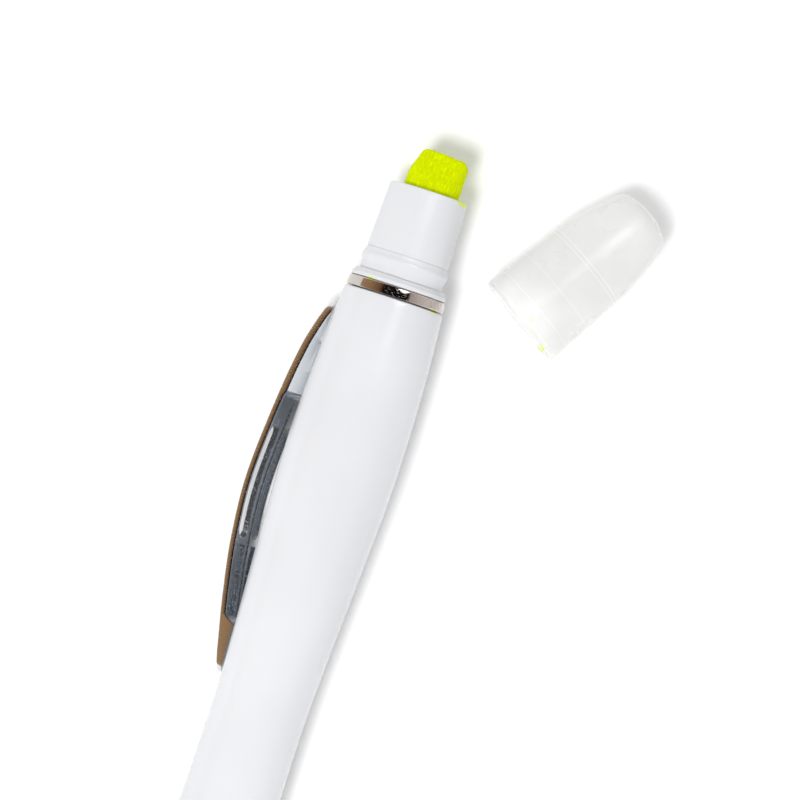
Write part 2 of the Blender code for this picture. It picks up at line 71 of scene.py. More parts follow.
# the same place without the roll, so that +Z is up
levelPlace = Matrix.Translation(penOrigin) @ Matrix.Scale(mm, 4)


def capFrame():
    # +Y from the cap's mouth to its closed end, with +Z close to up
    joint = joints["cap_swing"]
    back = Matrix.Rotation(-math.radians(joint["range_deg"][1]), 3, Vector(joint["axis"]))
    along = (back @ Vector((0, 1, 0))).normalized()
    points = [vertex.co for vertex in frame["nodes"]["highlighter_cap"].data.vertices]
    nearest = min(point.dot(along) for point in points)
    rim = [point for point in points if point.dot(along) < nearest + 0.01 * mm]
    centre = sum(rim, Vector()) / len(rim)
    across = along.cross(Vector((0, 0, 1))).normalized()
    turn = Matrix((across, along, across.cross(along))).transposed().to_4x4()
    return Matrix.Translation(centre) @ turn @ Matrix.Scale(mm, 4)


capPlace = capFrame()


def smoothRun(knots, steps):
    # a smooth curve through (station, radius) knots
    run = []
    for i in range(len(knots) - 1):
        before, start = knots[max(i - 1, 0)], knots[i]
        end, after = knots[i + 1], knots[min(i + 2, len(knots) - 1)]
        length = end[0] - start[0]
        slopeIn = (end[1] - before[1]) / (end[0] - before[0])
        slopeOut = (after[1] - start[1]) / (after[0] - start[0])
        for k in range(steps):
            t = k / steps
            rise = (3 - 2 * t) * t * t
            radius = start[1] + (end[1] - start[1]) * rise
            radius += length * t * (1 - t) * ((1 - t) * slopeIn - t * slopeOut)
            run.append((start[0] + length * t, radius))
    return run + [tuple(knots[-1][:2])]


def valueAt(run, station):
    if station <= run[0][0]:
        return run[0][1]
    for (s0, r0), (s1, r1) in zip(run, run[1:]):
        if s0 <= station <= s1:
            return r0 + (r1 - r0) * (station - s0) / (s1 - s0)
    return run[-1][1]


def rounded(outline, steps=5):
    # a corner that carries a third number is rounded by that much
    run = []
    for i, knot in enumerate(outline):
        here = Vector(knot[:2])
        if len(knot) < 3:
            run.append(tuple(here))
            continue
        back = Vector(outline[i - 1][:2]) - here
        ahead = Vector(outline[(i + 1) % len(outline)][:2]) - here
        start = here + back.normalized() * min(knot[2], back.length * 0.48)
        end = here + ahead.normalized() * min(knot[2], ahead.length * 0.48)
        for k in range(steps + 1):
            t = k / steps
            run.append(tuple(start * (1 - t) ** 2 + here * 2 * t * (1 - t) + end * t * t))
    return run


def turnForm(outline, flats=128, forward=-1):
    # spins (station, radius) points about Y; an outline that starts on the axis is solid
    form = bmesh.new()
    corners = [form.verts.new((radius, forward * along, 0)) for along, radius in outline]
    edges = [form.edges.new(pair) for pair in zip(corners, corners[1:])]
    if outline[0][1] > 0:
        edges.append(form.edges.new((corners[-1], corners[0])))
    bmesh.ops.spin(form, geom=corners + edges, cent=(0, 0, 0), axis=(0, 1, 0),
                   angle=2 * math.pi, steps=flats, use_merge=True)
    bmesh.ops.remove_doubles(form, verts=form.verts, dist=0.0005)
    bmesh.ops.recalc_face_normals(form, faces=form.faces)
    return form


def boxForm(low, high, edge=0.0):
    form = bmesh.new()
    bmesh.ops.create_cube(form, size=1)
    bmesh.ops.scale(form, verts=form.verts, vec=Vector(high) - Vector(low))
    bmesh.ops.translate(form, verts=form.verts, vec=(Vector(high) + Vector(low)) / 2)
    if edge:
        bmesh.ops.bevel(form, geom=form.edges[:], offset=edge, offset_type="OFFSET", segments=3,
                        profile=0.5, affect="EDGES", material=-1)
    return form


def carve(form, tool, operation="DIFFERENCE"):
    # a Boolean between two shapes, worked in millimetres
    things = []
    for shape in (form, tool):
        mesh = bpy.data.meshes.new("carving")
        shape.to_mesh(mesh)
        shape.free()
        things.append(bpy.data.objects.new("carving", mesh))
        bpy.context.scene.collection.objects.link(things[-1])
    step = things[0].modifiers.new("carve", "BOOLEAN")
    step.operation = operation
    step.solver = "EXACT"
    step.object = things[1]
    carved = things[0].evaluated_get(bpy.context.evaluated_depsgraph_get())
    result = bmesh.new()
    result.from_mesh(carved.to_mesh())
    carved.to_mesh_clear()
    for thing in things:
        bpy.data.meshes.remove(thing.data)
    bmesh.ops.remove_doubles(result, verts=result.verts, dist=0.0005)
    return result


def makePiece(name, form, place, paint, body, stands=(), sharp=32):
    bmesh.ops.transform(form, matrix=place, verts=form.verts)
    bmesh.ops.recalc_face_normals(form, faces=form.faces)
    mesh = bpy.data.meshes.new(name)
    form.to_mesh(mesh)
    form.free()
    mesh.materials.append(paint)
    mesh.shade_smooth()
    mesh.set_sharp_from_angle(angle=math.radians(sharp))
    piece = bpy.data.objects.new(name, mesh)
    bpy.context.scene.collection.objects.link(piece)
    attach(piece, body)
    if stands:
        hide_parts(*stands)
    return piece


def hexColour(code):
    # sRGB hex to linear
    parts = [int(code[i:i + 2], 16) / 255 for i in (1, 3, 5)]
    return tuple(p / 12.92 if p <= 0.04045 else ((p + 0.055) / 1.055) ** 2.4 for p in parts) + (1,)


def perMm(size):
    # texture scale whose features are this many millimetres, as Object coordinates are metres
    return 1 / (size * mm)


def addNode(tree, kind, settings=None, links=None):
    node = tree.nodes.new(kind)
    for name, value in (settings or {}).items():
        if isinstance(name, int) or name in node.inputs:
            node.inputs[name].default_value = value
        else:
            setattr(node, name, value)
    for name, source in (links or {}).items():
        tree.links.new(source, node.inputs[name])
    return node


def newPaint(name, colour, settings):
    paint = bpy.data.materials.new(name)
    paint.use_nodes = True
    tree = paint.node_tree
    shader = tree.nodes["Principled BSDF"]
    shader.inputs["Base Color"].default_value = hexColour(colour)
    for socket, value in settings.items():
        shader.inputs[socket].default_value = value
    place = addNode(tree, "ShaderNodeTexCoord").outputs["Object"]
    return paint, tree, shader, place


def vary(tree, shader, place, size, low, high, socket, detail=3.0):
    # cloudy change of one value between two limits
    cloud = addNode(tree, "ShaderNodeTexNoise", {"Scale": perMm(size), "Detail": detail},
                    {"Vector": place})
    spread = addNode(tree, "ShaderNodeMapRange",
                     {"From Min": 0.3, "From Max": 0.7, "To Min": low, "To Max": high},
                     {"Value": cloud.outputs["Fac"]})
    tree.links.new(spread.outputs["Result"], shader.inputs[socket])
    return cloud


def tint(tree, place, size, first, second, low=0.35, high=0.65, detail=4.0):
    # two colours mixed in clouds of this size
    cloud = addNode(tree, "ShaderNodeTexNoise", {"Scale": perMm(size), "Detail": detail},
                    {"Vector": place})
    ramp = addNode(tree, "ShaderNodeValToRGB", {}, {"Fac": cloud.outputs["Fac"]})
    ramp.color_ramp.elements[0].position = low
    ramp.color_ramp.elements[0].color = hexColour(first)
    ramp.color_ramp.elements[1].position = high
    ramp.color_ramp.elements[1].color = hexColour(second)
    return ramp.outputs["Color"]


def relief(tree, shader, height, depth, strength=1.0, before=None):
    # bump of this many millimetres
    links = {"Height": height}
    if before:
        links["Normal"] = before
    bump = addNode(tree, "ShaderNodeBump", {"Distance": depth * mm, "Strength": strength}, links)
    tree.links.new(bump.outputs["Normal"], shader.inputs["Normal"])
    return bump.outputs["Normal"]


def spotMask(tree, place, centre, size, ragged=0.5):
    # 1 inside a ragged spot round a point of the frame, 0 outside; size in millimetres
    shrink = [1 / (value * mm) for value in size]
    moved = addNode(tree, "ShaderNodeMapping",
                    {"Location": [-c * s for c, s in zip(centre, shrink)], "Scale": shrink},
                    {"Vector": place})
    rag = addNode(tree, "ShaderNodeTexNoise", {"Scale": perMm(0.5), "Detail": 3.0},
                  {"Vector": place})
    far = addNode(tree, "ShaderNodeVectorMath", {"operation": "LENGTH"},
                  {"Vector": moved.outputs["Vector"]})
    shift = addNode(tree, "ShaderNodeMath", {"operation": "MULTIPLY_ADD", 1: ragged},
                    {0: rag.outputs["Fac"], 2: far.outputs["Value"]})
    mask = addNode(tree, "ShaderNodeMapRange",
                   {"From Min": 0.85 + ragged / 2, "From Max": 1.15 + ragged / 2,
                    "To Min": 1.0, "To Max": 0.0}, {"Value": shift.outputs["Value"]})
    return mask.outputs["Result"]


def stain(tree, shader, masks, colour):
    # lays one colour over what colours the shader, where any mask is set
    total = masks[0]
    for mask in masks[1:]:
        total = addNode(tree, "ShaderNodeMath", {"operation": "MAXIMUM"},
                        {0: total, 1: mask}).outputs["Value"]
    base = shader.inputs["Base Color"]
    mix = addNode(tree, "ShaderNodeMix", {"data_type": "RGBA"}, {"Factor": total})
    mix.inputs[7].default_value = hexColour(colour)      # 6 and 7 are its two colour inputs
    if base.links:
        tree.links.new(base.links[0].from_socket, mix.inputs[6])
    else:
        mix.inputs[6].default_value = base.default_value
    tree.links.new(mix.outputs[2], base)


def whiteAbs(name, colour, roughness, specks=False, spots=()):
    # injection-moulded ABS: polished tool gives a gloss skin with faint flow clouds
    paint, tree, shader, place = newPaint(name, colour, {
        "IOR": 1.53, "Subsurface Weight": 0.12, "Subsurface Scale": 0.8 * mm,
        "Subsurface Radius": (1.0, 0.95, 0.9)})
    base = tint(tree, place, 14.0, colour, paintValues["whiteShade"], detail=1.0)
    tree.links.new(base, shader.inputs["Base Color"])
    vary(tree, shader, place, 9.0, roughness - 0.015, roughness + 0.02, "Roughness", 1.0)
    skin = addNode(tree, "ShaderNodeTexNoise", {"Scale": perMm(0.9), "Detail": 1.0},
                   {"Vector": place})
    relief(tree, shader, skin.outputs["Fac"], 0.0015, 0.3)
    if specks:
        # a few black dust specks, 0.2 mm across
        cells = addNode(tree, "ShaderNodeTexVoronoi", {"Scale": perMm(7.0)}, {"Vector": place})
        chosen = addNode(tree, "ShaderNodeSeparateColor", {}, {"Color": cells.outputs["Color"]})
        near = addNode(tree, "ShaderNodeMath", {"operation": "LESS_THAN", 1: 0.016},
                       {0: cells.outputs["Distance"]})
        rare = addNode(tree, "ShaderNodeMath", {"operation": "GREATER_THAN", 1: 0.45},
                       {0: chosen.outputs["Red"]})
        dots = addNode(tree, "ShaderNodeMath", {"operation": "MULTIPLY"},
                       {0: near.outputs["Value"], 1: rare.outputs["Value"]})
        stain(tree, shader, [dots.outputs["Value"]], "#77736F")
    if spots:
        stain(tree, shader, [spotMask(tree, place, *spot) for spot in spots],
              paintValues["inkYellow"])
    return paint


def platedChrome(name, roughness, colour="#D9DADD", specks=0.25, metal=1.0):
    # decorative chrome on moulded plastic: mirror bright, with fine pits and dull dust specks
    paint, tree, shader, place = newPaint(name, colour, {"Metallic": metal})
    vary(tree, shader, place, 2.5, roughness, roughness + 0.05, "Roughness")
    dust = addNode(tree, "ShaderNodeTexNoise", {"Scale": perMm(0.22), "Detail": 5.0},
                   {"Vector": place})
    dull = addNode(tree, "ShaderNodeMapRange",
                   {"From Min": 0.6, "From Max": 0.66, "To Min": 0.0, "To Max": specks},
                   {"Value": dust.outputs["Fac"]})
    total = addNode(tree, "ShaderNodeMath", {"operation": "ADD"},
                    {0: dull.outputs["Result"], 1: shader.inputs["Roughness"].links[0].from_socket})
    tree.links.new(total.outputs["Value"], shader.inputs["Roughness"])
    pits = addNode(tree, "ShaderNodeTexNoise", {"Scale": perMm(0.35), "Detail": 3.0},
                   {"Vector": place})
    sink = addNode(tree, "ShaderNodeTexNoise", {"Scale": perMm(4.0), "Detail": 1.0},
                   {"Vector": place})
    wave = relief(tree, shader, sink.outputs["Fac"], 0.05, 0.5)
    relief(tree, shader, pits.outputs["Fac"], 0.004, 0.5, wave)
    return paint


def mouldedPlastic(name, colour, shade, roughness, more=None):
    # plain moulded resin with a matt, slightly cloudy skin
    paint, tree, shader, place = newPaint(name, colour, {"IOR": 1.48, **(more or {})})
    tree.links.new(tint(tree, place, 3.0, colour, shade), shader.inputs["Base Color"])
    vary(tree, shader, place, 1.5, roughness - 0.06, roughness + 0.06, "Roughness")
    skin = addNode(tree, "ShaderNodeTexNoise", {"Scale": perMm(0.25), "Detail": 3.0},
                   {"Vector": place})
    relief(tree, shader, skin.outputs["Fac"], 0.01, 0.6)
    return paint


def turnedMetal(name, colour, shade, roughness, groove):
    # drawn or lathe-turned metal: fine rings round the part, groove apart
    paint, tree, shader, place = newPaint(name, colour, {"Metallic": 1.0})
    tree.links.new(tint(tree, place, 2.0, colour, shade), shader.inputs["Base Color"])
    vary(tree, shader, place, 0.8, roughness - 0.05, roughness + 0.08, "Roughness")
    lines = addNode(tree, "ShaderNodeTexWave",
                    {"wave_type": "BANDS", "bands_direction": "Y", "Scale": perMm(groove) / 20,
                     "Distortion": 1.2, "Detail": 2.0}, {"Vector": place})
    relief(tree, shader, lines.outputs["Fac"], 0.004, 0.5)
    return paint


paintValues = {
    "whiteShade": "#DCDDE0",
    "inkYellow": "#D9EE12",
    "gloss": 0.24,
    "satin": 0.38,
}


def feltPaint():
    # bonded polyester fibre soaked with fluorescent ink: matt, streaked along the fibres
    # the emission is a painted glow, standing in for the ink's fluorescence
    paint, tree, shader, place = newPaint("fluorescentFelt", "#C6D600", {
        "IOR": 1.4, "Emission Strength": 0.1, "Specular IOR Level": 0.06,
        "Subsurface Weight": 0.2, "Subsurface Scale": 0.5 * mm,
        "Subsurface Radius": (1.0, 1.0, 0.05)})
    shader.inputs["Emission Color"].default_value = hexColour("#D0F000")
    stretched = addNode(tree, "ShaderNodeMapping", {"Scale": (1, 0.18, 1)}, {"Vector": place})
    fibres = addNode(tree, "ShaderNodeTexNoise", {"Scale": perMm(0.22), "Detail": 4.0},
                     {"Vector": stretched.outputs["Vector"]})
    ramp = addNode(tree, "ShaderNodeValToRGB", {}, {"Fac": fibres.outputs["Fac"]})
    for position, code in ((0.3, "#BECC00"), (0.5, "#C6D500"), (0.76, "#DAF000")):
        element = (ramp.color_ramp.elements.new(position) if position == 0.5
                   else ramp.color_ramp.elements[0 if position < 0.5 else -1])
        element.position = position
        element.color = hexColour(code)
    tree.links.new(ramp.outputs["Color"], shader.inputs["Base Color"])
    vary(tree, shader, place, 0.6, 0.72, 0.95, "Roughness")
    pores = addNode(tree, "ShaderNodeTexVoronoi", {"Scale": perMm(0.28)},
                    {"Vector": stretched.outputs["Vector"]})
    first = relief(tree, shader, pores.outputs["Distance"], 0.03, 0.6)
    relief(tree, shader, fibres.outputs["Fac"], 0.045, 0.7, first)
    return paint


def gripPaint():
    # soft thermoplastic rubber: matt, with a bloom that is lighter in patches
    paint, tree, shader, place = newPaint("softGripRubber", "#6F7173", {
        "IOR": 1.5, "Sheen Weight": 0.1, "Sheen Roughness": 0.6})
    tree.links.new(tint(tree, place, 4.0, "#696B6D", "#7B7D7F"), shader.inputs["Base Color"])
    vary(tree, shader, place, 2.0, 0.62, 0.8, "Roughness")
    grain = addNode(tree, "ShaderNodeTexVoronoi", {"Scale": perMm(0.22)}, {"Vector": place})
    relief(tree, shader, grain.outputs["Distance"], 0.02, 0.7)
    return paint


def inkPaint():
    # oil-based ballpoint paste: near black, wet
    paint, tree, shader, place = newPaint("ballpointPaste", "#0C0E1E", {"IOR": 1.48})
    tree.links.new(tint(tree, place, 1.0, "#0A0C1A", "#14172C"), shader.inputs["Base Color"])
    vary(tree, shader, place, 0.7, 0.16, 0.3, "Roughness")
    return paint


# the hourglass shell, with a slot for the clip's foot
barrelValues = {
    "profile": [(13.3, 6.05), (22.0, 6.618), (34.0, 6.85), (45.1, 6.418), (55.6, 5.885),
                (64.0, 5.58), (80.0, 5.7)],
    "front": 13.22,         # its edges stand a hair proud of the solid, so the joints look tight
    "edge": 0.3,
    "chamber": 5.2,         # bore round the ink reservoir, as far as chamberEnd
    "chamberEnd": 47.0,
    "bore": 4.6,
    "slotHalf": 1.68,       # slot for the clip's foot
    "slotRun": (15.72, 20.78),
}
barrelRun = smoothRun(barrelValues["profile"], 12)


def onRim(angle, radius, along):
    # a point of the frame round the pen, angle from level right towards up
    return levelPlace @ Vector((radius * math.cos(angle), -along, radius * math.sin(angle)))


glossWhite = whiteAbs("glossWhiteAbs", "#E0E1E4", paintValues["gloss"], specks=True,
                      spots=[(onRim(0.61, 6.0, 13.2), (0.8, 0.22, 0.8), 0.6)])


def makeBarrel():
    v = barrelValues
    outer = [(s, r) for s, r in barrelRun if s > v["front"] + 0.5]
    outline = rounded([(v["front"], v["chamber"], 0.1), (v["front"], barrelRun[0][1] - 0.02,
                       v["edge"])] + outer[:-1] + [(80.05, 5.7, 0.25), (80.05, v["bore"], 0.1)]
                      + [(v["chamberEnd"] + 2, v["bore"]), (v["chamberEnd"], v["chamber"])])
    form = turnForm(outline, 144)
    half, (start, end) = v["slotHalf"], v["slotRun"]
    slot = boxForm((-half, -end, v["chamber"] - 1.5), (half, -start, 8.0))
    return makePiece("barrel_shell", carve(form, slot), penPlace, glossWhite, "upper_barrel",
                     ["upper_barrel"])


makeBarrel()
print("upper barrel done")


# white nose that holds the nib; its beads and neck take the cap
holderValues = {
    "end": 4.72, "bore": 3.78, "root": 5.04,
    "partLine": 7.95,       # fine line between the sleeve and its root
    "bead": 5.27, "beadAt": 9.05,
    "neck": 5.0, "neckAt": 10.35,
    "flange": 5.8,
}


satinWhite = whiteAbs("satinWhiteAbs", "#DFE0E3", paintValues["satin"], spots=[
    (onRim(0.25, 4.3, 0.0), (0.9, 0.5, 2.6), 0.6), (onRim(-0.5, 4.6, 0.3), (0.5, 0.45, 1.2), 0.7),
    (onRim(2.2, 5.8, 11.8), (0.5, 0.15, 0.5), 0.5)])


def makeHolder():
    v = holderValues
    part, bead, neck = v["partLine"], v["beadAt"], v["neckAt"]
    sleeve = [(0, v["bore"], 0.12), (0, v["end"], 0.2), (part, v["root"] - 0.03, 0.06),
              (part + 0.04, v["root"] - 0.12, 0.04), (part + 0.15, v["root"] - 0.12, 0.04),
              (part + 0.2, v["root"] + 0.02, 0.06)]
    swell = smoothRun([(bead - 0.55, v["root"] + 0.05), (bead, v["bead"]),
                       (bead + 0.5, v["root"] + 0.1), (neck - 0.3, v["neck"] + 0.01),
                       (neck + 0.15, v["neck"])], 6)
    shoulder = [(neck + 0.42, v["neck"], 0.1), (neck + 0.46, 5.42, 0.12), (neck + 0.95, 5.66, 0.1),
                (11.25, v["flange"], 0.12), (11.8, v["flange"], 0.14)]
    plug = [(11.8, 4.9), (23.5, 4.9, 0.1), (24.0, 4.6), (24.0, 4.2), (9.15, 4.2),
            (9.15, v["bore"])]
    form = turnForm(rounded(sleeve + swell + shoulder + plug), 128)
    return makePiece("holder_sleeve", form, penPlace, satinWhite, "upper_barrel",
                     ["nib_holder"])


makeHolder()


# round felt rod, cut to a chisel and worn at its edges
nibValues = {
    "radius": 3.5, "reach": 4.8, "tail": 9.0,
    "slope": 20.0,          # of the two broad faces, in degrees
    "edge": 0.45,           # rounding that wear gives the felt
    "voxel": 0.13,
    "fibre": 0.07,          # how far single fibres stand out
}
feltYellow = feltPaint()


def makeNib():
    v = nibValues
    radius, reach = v["radius"], v["reach"]
    form = bmesh.new()
    bmesh.ops.create_cone(form, cap_ends=True, segments=96, radius1=radius + 0.1,
                          radius2=radius + 0.1, depth=reach + v["tail"])
    bmesh.ops.rotate(form, verts=form.verts, matrix=Matrix.Rotation(-math.pi / 2, 3, "X"))
    bmesh.ops.translate(form, verts=form.verts, vec=(0, (reach - v["tail"]) / 2, 0))
    slope = math.radians(v["slope"])
    cuts = [((0, 0, radius), (0, math.sin(slope), math.cos(slope))),
            ((0, 0, -radius), (0, math.sin(slope), -math.cos(slope))),
            ((-3.1, 0.2, 0), (-1, 0.08, 0)), ((-2.85, 2.4, 0), (-1, 0.36, 0)),
            ((-2.35, 4.2, 0), (-1, 0.95, 0)), ((1.5, reach - 0.12, 0), (0.07, 1, 0)),
            ((3.2, reach - 0.5, 0), (1, 1, 0))]
    for point, normal in cuts:
        cut = bmesh.ops.bisect_plane(form, geom=form.verts[:] + form.edges[:] + form.faces[:],
                                     plane_co=point, plane_no=Vector(normal).normalized(),
                                     clear_outer=True)
        rim = [item for item in cut["geom_cut"] if isinstance(item, bmesh.types.BMEdge)]
        bmesh.ops.contextual_create(form, geom=rim)
    mesh = bpy.data.meshes.new("nibBlank")
    form.to_mesh(mesh)
    form.free()
    blank = bpy.data.objects.new("nibBlank", mesh)
    bpy.context.scene.collection.objects.link(blank)
    cells = blank.modifiers.new("cells", "REMESH")
    cells.mode = "VOXEL"
    cells.voxel_size = v["voxel"]
    worked = blank.evaluated_get(bpy.context.evaluated_depsgraph_get())
    form = bmesh.new()
    form.from_mesh(worked.to_mesh())
    worked.to_mesh_clear()
    bpy.data.meshes.remove(mesh)
    for _ in range(round(v["edge"] / v["voxel"] * 3)):
        bmesh.ops.smooth_vert(form, verts=form.verts, factor=0.5, use_axis_x=True,
                              use_axis_y=True, use_axis_z=True)
    form.normal_update()
    moves = []
    for vert in form.verts:
        x, y, z = vert.co
        streak = noise.noise(Vector((x * 2.6, y * 0.5, z * 2.6)))
        lump = noise.noise(Vector((x * 1.1, y * 1.1 + 9, z * 1.1)))
        fuzz = noise.noise(Vector((x * 7, y * 3, z * 7)))
        front = min(max((y + 0.5) / 1.5, 0), 1)      # only outside the holder
        push = v["fibre"] * (streak + 0.6 * lump + 0.5 * fuzz) * front
        moves.append((vert, vert.normal * push))
    for vert, push in moves:
        vert.co += push
    return makePiece("felt_nib", form, levelPlace, feltYellow, "upper_barrel",
                     ["highlighter_nib"], sharp=70)


makeNib()
print("nib and holder done")


# the ring behind the holder and the band at the twist joint
ringValues = {
    "neck": (11.87, 13.14, 5.25, 6.0),      # start, end, inner and outer radius
    "neckEdge": 0.22,
    "band": (80.12, 82.88, 4.65, 5.85),
    "bandEdge": 0.3,
    "bandGrooves": (80.85, 82.15),
}
ringChrome = platedChrome("chromePlating", 0.05, "#C4BDB7", specks=0.6)


def makeRings():
    start, end, inner, outer = ringValues["neck"]
    edge = ringValues["neckEdge"]
    outline = rounded([(start, inner, 0.1), (start, outer - 0.08, edge), (end, outer, edge),
                       (end, inner, 0.1)])
    makePiece("neck_ring", turnForm(outline, 128), penPlace, ringChrome, "upper_barrel",
              ["trim_ring"])
    start, end, inner, outer = ringValues["band"]
    edge = ringValues["bandEdge"]
    grooves = []
    for groove in ringValues["bandGrooves"]:
        grooves += [(groove - 0.12, outer, 0.03), (groove, outer - 0.1, 0.04),
                    (groove + 0.12, outer, 0.03)]
    outline = rounded([(start, inner, 0.1), (start, outer, edge)] + grooves
                      + [(end, outer, edge), (end, inner, 0.1)])
    makePiece("middle_band", turnForm(outline, 128), penPlace, ringChrome, "lower_barrel",
              ["centre_band"])


makeRings()


# one springy bar: thick root, slotted arm, pad at the tip; heights are over the barrel
clipValues = {
    "start": 15.9, "end": 61.3,
    "step": 0.4,            # spacing of the sections along the clip
    "top": [(15.9, 0.75), (21.8, 1.85), (30.4, 2.7), (39.0, 3.29), (46.7, 2.9), (52.0, 2.25),
            (57.8, 1.3), (61.3, 0.75)],                 # height of its edges over the barrel
    "width": [(15.9, 3.4), (16.6, 4.5), (18.0, 5.1), (21.0, 5.5), (25.0, 5.6), (46.0, 5.6),
              (54.6, 4.8), (59.0, 4.0), (60.4, 3.4), (61.3, 2.0)],
    "crown": 0.3,           # how far the outer face bulges over its edges
    "edge": 0.2,
    "rootSide": 0.94, "armSide": 0.72, "padSide": 2.4,  # height of the side face
    "rootBelly": 1.35, "armBelly": 0.24,                # bulge of the underside
    "rootEnd": (27.3, 28.1),
    "padStart": (54.5, 56.0),
    "clear": 0.3,           # over the barrel
    "slotRun": (31.5, 45.6),
    "slotTop": (1.35, 1.95), "slotLow": (0.25, 2.8),    # the spine between them is a wedge
    "panels": ((46.3, 49.72), (49.88, 54.3)),
    "panelSide": (0.42, 0.3), "panelDepth": 0.3,
    "dishRun": (30.2, 46.9), "dishDepth": 0.82, "dishHalf": 2.4,
    "ribRun": (28.3, 54.8),
    "tongueRun": (20.9, 24.5),
    "footHalf": 1.5, "footRun": (15.9, 20.6), "footLow": 5.3,
    "under": 0.6, "over": 0.8,      # how far the cutters reach past the arm
    "rimSkin": 0.08,                # the bright edge left beside the rougher underside with its painted shade
}
clipChrome = platedChrome("polishedChromePlating", 0.07)
# the mould's tool was left unpolished under the arm, so the plating is rougher there; its darker,
# bluer colour is painted shade, and the pale, half-diffuse copy under the root is a painted
# reflection of the white barrel
# darker, bluer chrome: painted shade under the arm
paintedShadeChrome = platedChrome("satinChromeWithPaintedShade", 0.18, "#BFC6CE", 0.3, 0.92)
# pale, half-diffuse chrome: painted reflection of the white barrel under the root
paintedReflectionChrome = platedChrome("chromeWithPaintedReflection", 0.45, "#F0F4F8", 0.2, 0.45)
clipTop = smoothRun([(s, valueAt(barrelRun, s) + h) for s, h in clipValues["top"]], 8)


def ease(low, high, station):
    t = min(max((station - low) / (high - low), 0), 1)
    return (3 - 2 * t) * t * t


def clipUnder(station):
    # heights of the side's lower edge and of the middle of the underside
    v = clipValues
    top, skin = valueAt(clipTop, station), valueAt(barrelRun, station)
    arm, pad = ease(*v["rootEnd"], station), ease(*v["padStart"], station)
    side = v["rootSide"] + (v["armSide"] - v["rootSide"]) * arm
    side += (v["padSide"] - v["armSide"]) * pad
    belly = v["rootBelly"] + (v["armBelly"] - v["rootBelly"]) * arm
    edge = top - side
    middle = edge - belly
    if arm < 0.5:
        middle = max(middle, skin + v["clear"])
        if station < v["footRun"][1]:
            middle = skin
    return edge, middle


def clipSection(station):
    # closed (x, height) outline across the clip
    v = clipValues
    half, top = valueAt(v["width"], station) / 2, valueAt(clipTop, station)
    crown, soft = v["crown"] * min(half / 2.4, 1), v["edge"]
    low, middle = clipUnder(station)
    side = [(half * 0.5, top + crown * 0.75), (half - soft * 1.6, top + crown * 0.22),
            (half - soft * 0.55, top), (half - soft * 0.1, top - soft * 0.5), (half, top - soft),
            (half, low + soft * 0.4), (half - soft * 0.25, low - soft * 0.3),
            (half - soft * 0.9, low - soft * 0.6)]
    start = side[-1]
    for share in (0.75, 0.5, 0.25):
        drop = (start[1] - middle) * (1 - share ** 1.8)
        side.append((start[0] * share, start[1] - drop))
    mirrored = [(-x, z) for x, z in reversed(side)]
    return [(0, top + crown)] + side + [(0, middle)] + mirrored


def loftForm(rings):
    # joins closed rings of points one after another and shuts both ends
    form = bmesh.new()
    rims = []
    for ring in rings:
        corners = [form.verts.new(point) for point in ring]
        rims.append([form.edges.new(pair) for pair in zip(corners, corners[1:] + corners[:1])])
        if ring is rings[0] or ring is rings[-1]:
            form.faces.new(corners)
    for first, second in zip(rims, rims[1:]):
        bmesh.ops.bridge_loops(form, edges=first + second)
    bmesh.ops.recalc_face_normals(form, faces=form.faces)
    return form


def barForm(run, section, steps):
    # a bar along the clip; section gives its (x, height) corners at a station and a share
    start, end = run
    rings = []
    for k in range(steps + 1):
        share = k / steps
        station = start + (end - start) * share
        rings.append([(x, -station, z) for x, z in section(station, share)])
    return loftForm(rings)


def slotForm(side):
    # cutter for one of the two slots beside the spine
    v = clipValues
    start, end = v["slotRun"]
    near = (v["slotLow"][1] - v["slotLow"][0]) / 2

    def section(station, share):
        reach = min(station - start, end - station, near)
        keep = max((1 - (1 - reach / near) ** 2) ** 0.5, 0.02)      # round ends
        low = clipUnder(station)[1] - v["under"]
        high = valueAt(clipTop, station) + v["over"]
        corners = []
        for (inner, outer), z in ((v["slotLow"], low), (v["slotTop"], high)):
            centre, half = (inner + outer) / 2, (outer - inner) / 2 * keep
            corners.append(((centre - half) * side, z))
            corners.append(((centre + half) * side, z))
        return [corners[0], corners[1], corners[3], corners[2]]
    return barForm((start, end), section, 64)


def panelForm(side, run):
    # cutter for a sunk panel in the underside
    v = clipValues

    def section(station, share):
        inner, wall = v["panelSide"]
        outer = valueAt(v["width"], station) / 2 - wall
        edge, middle = clipUnder(station)
        low, high = middle - v["under"], edge - 0.12 + v["panelDepth"]
        return [(inner * side, low), (outer * side, low), (outer * side, high),
                (inner * side, high - 0.06)]
    return barForm(run, section, 10)


def dishForm():
    # cutter for the hollow in the outer face
    v = clipValues

    def section(station, share):
        half = max(v["dishHalf"] * (1 - abs(2 * share - 1) ** 6) ** 0.5, 0.05)
        top = valueAt(clipTop, station)
        return [(-half, top - 0.02), (0, top + v["crown"] - v["dishDepth"] - 0.08),
                (half, top - 0.02), (half, top + 1.2), (-half, top + 1.2)]
    return barForm(v["dishRun"], section, 36)


def ribForm():
    # fine rib along the spine's underside
    def section(station, share):
        middle = clipUnder(station)[1]
        rise = 0.14 * min(share * 20, (1 - share) * 20, 1) + 0.01
        return [(-0.42, middle + 0.2), (-0.08, middle + 0.2), (-0.2, middle - rise),
                (-0.34, middle - rise)]
    return barForm(clipValues["ribRun"], section, 40)


def tongueForm():
    # block under the root that steadies it over the barrel
    def section(station, share):
        skin = valueAt(barrelRun, station)
        middle = clipUnder(station)[1]
        return [(-1.6, middle + 0.4), (1.6, middle + 0.4), (1.15, skin + 0.31),
                (-1.15, skin + 0.31)]
    return barForm(clipValues["tongueRun"], section, 12)


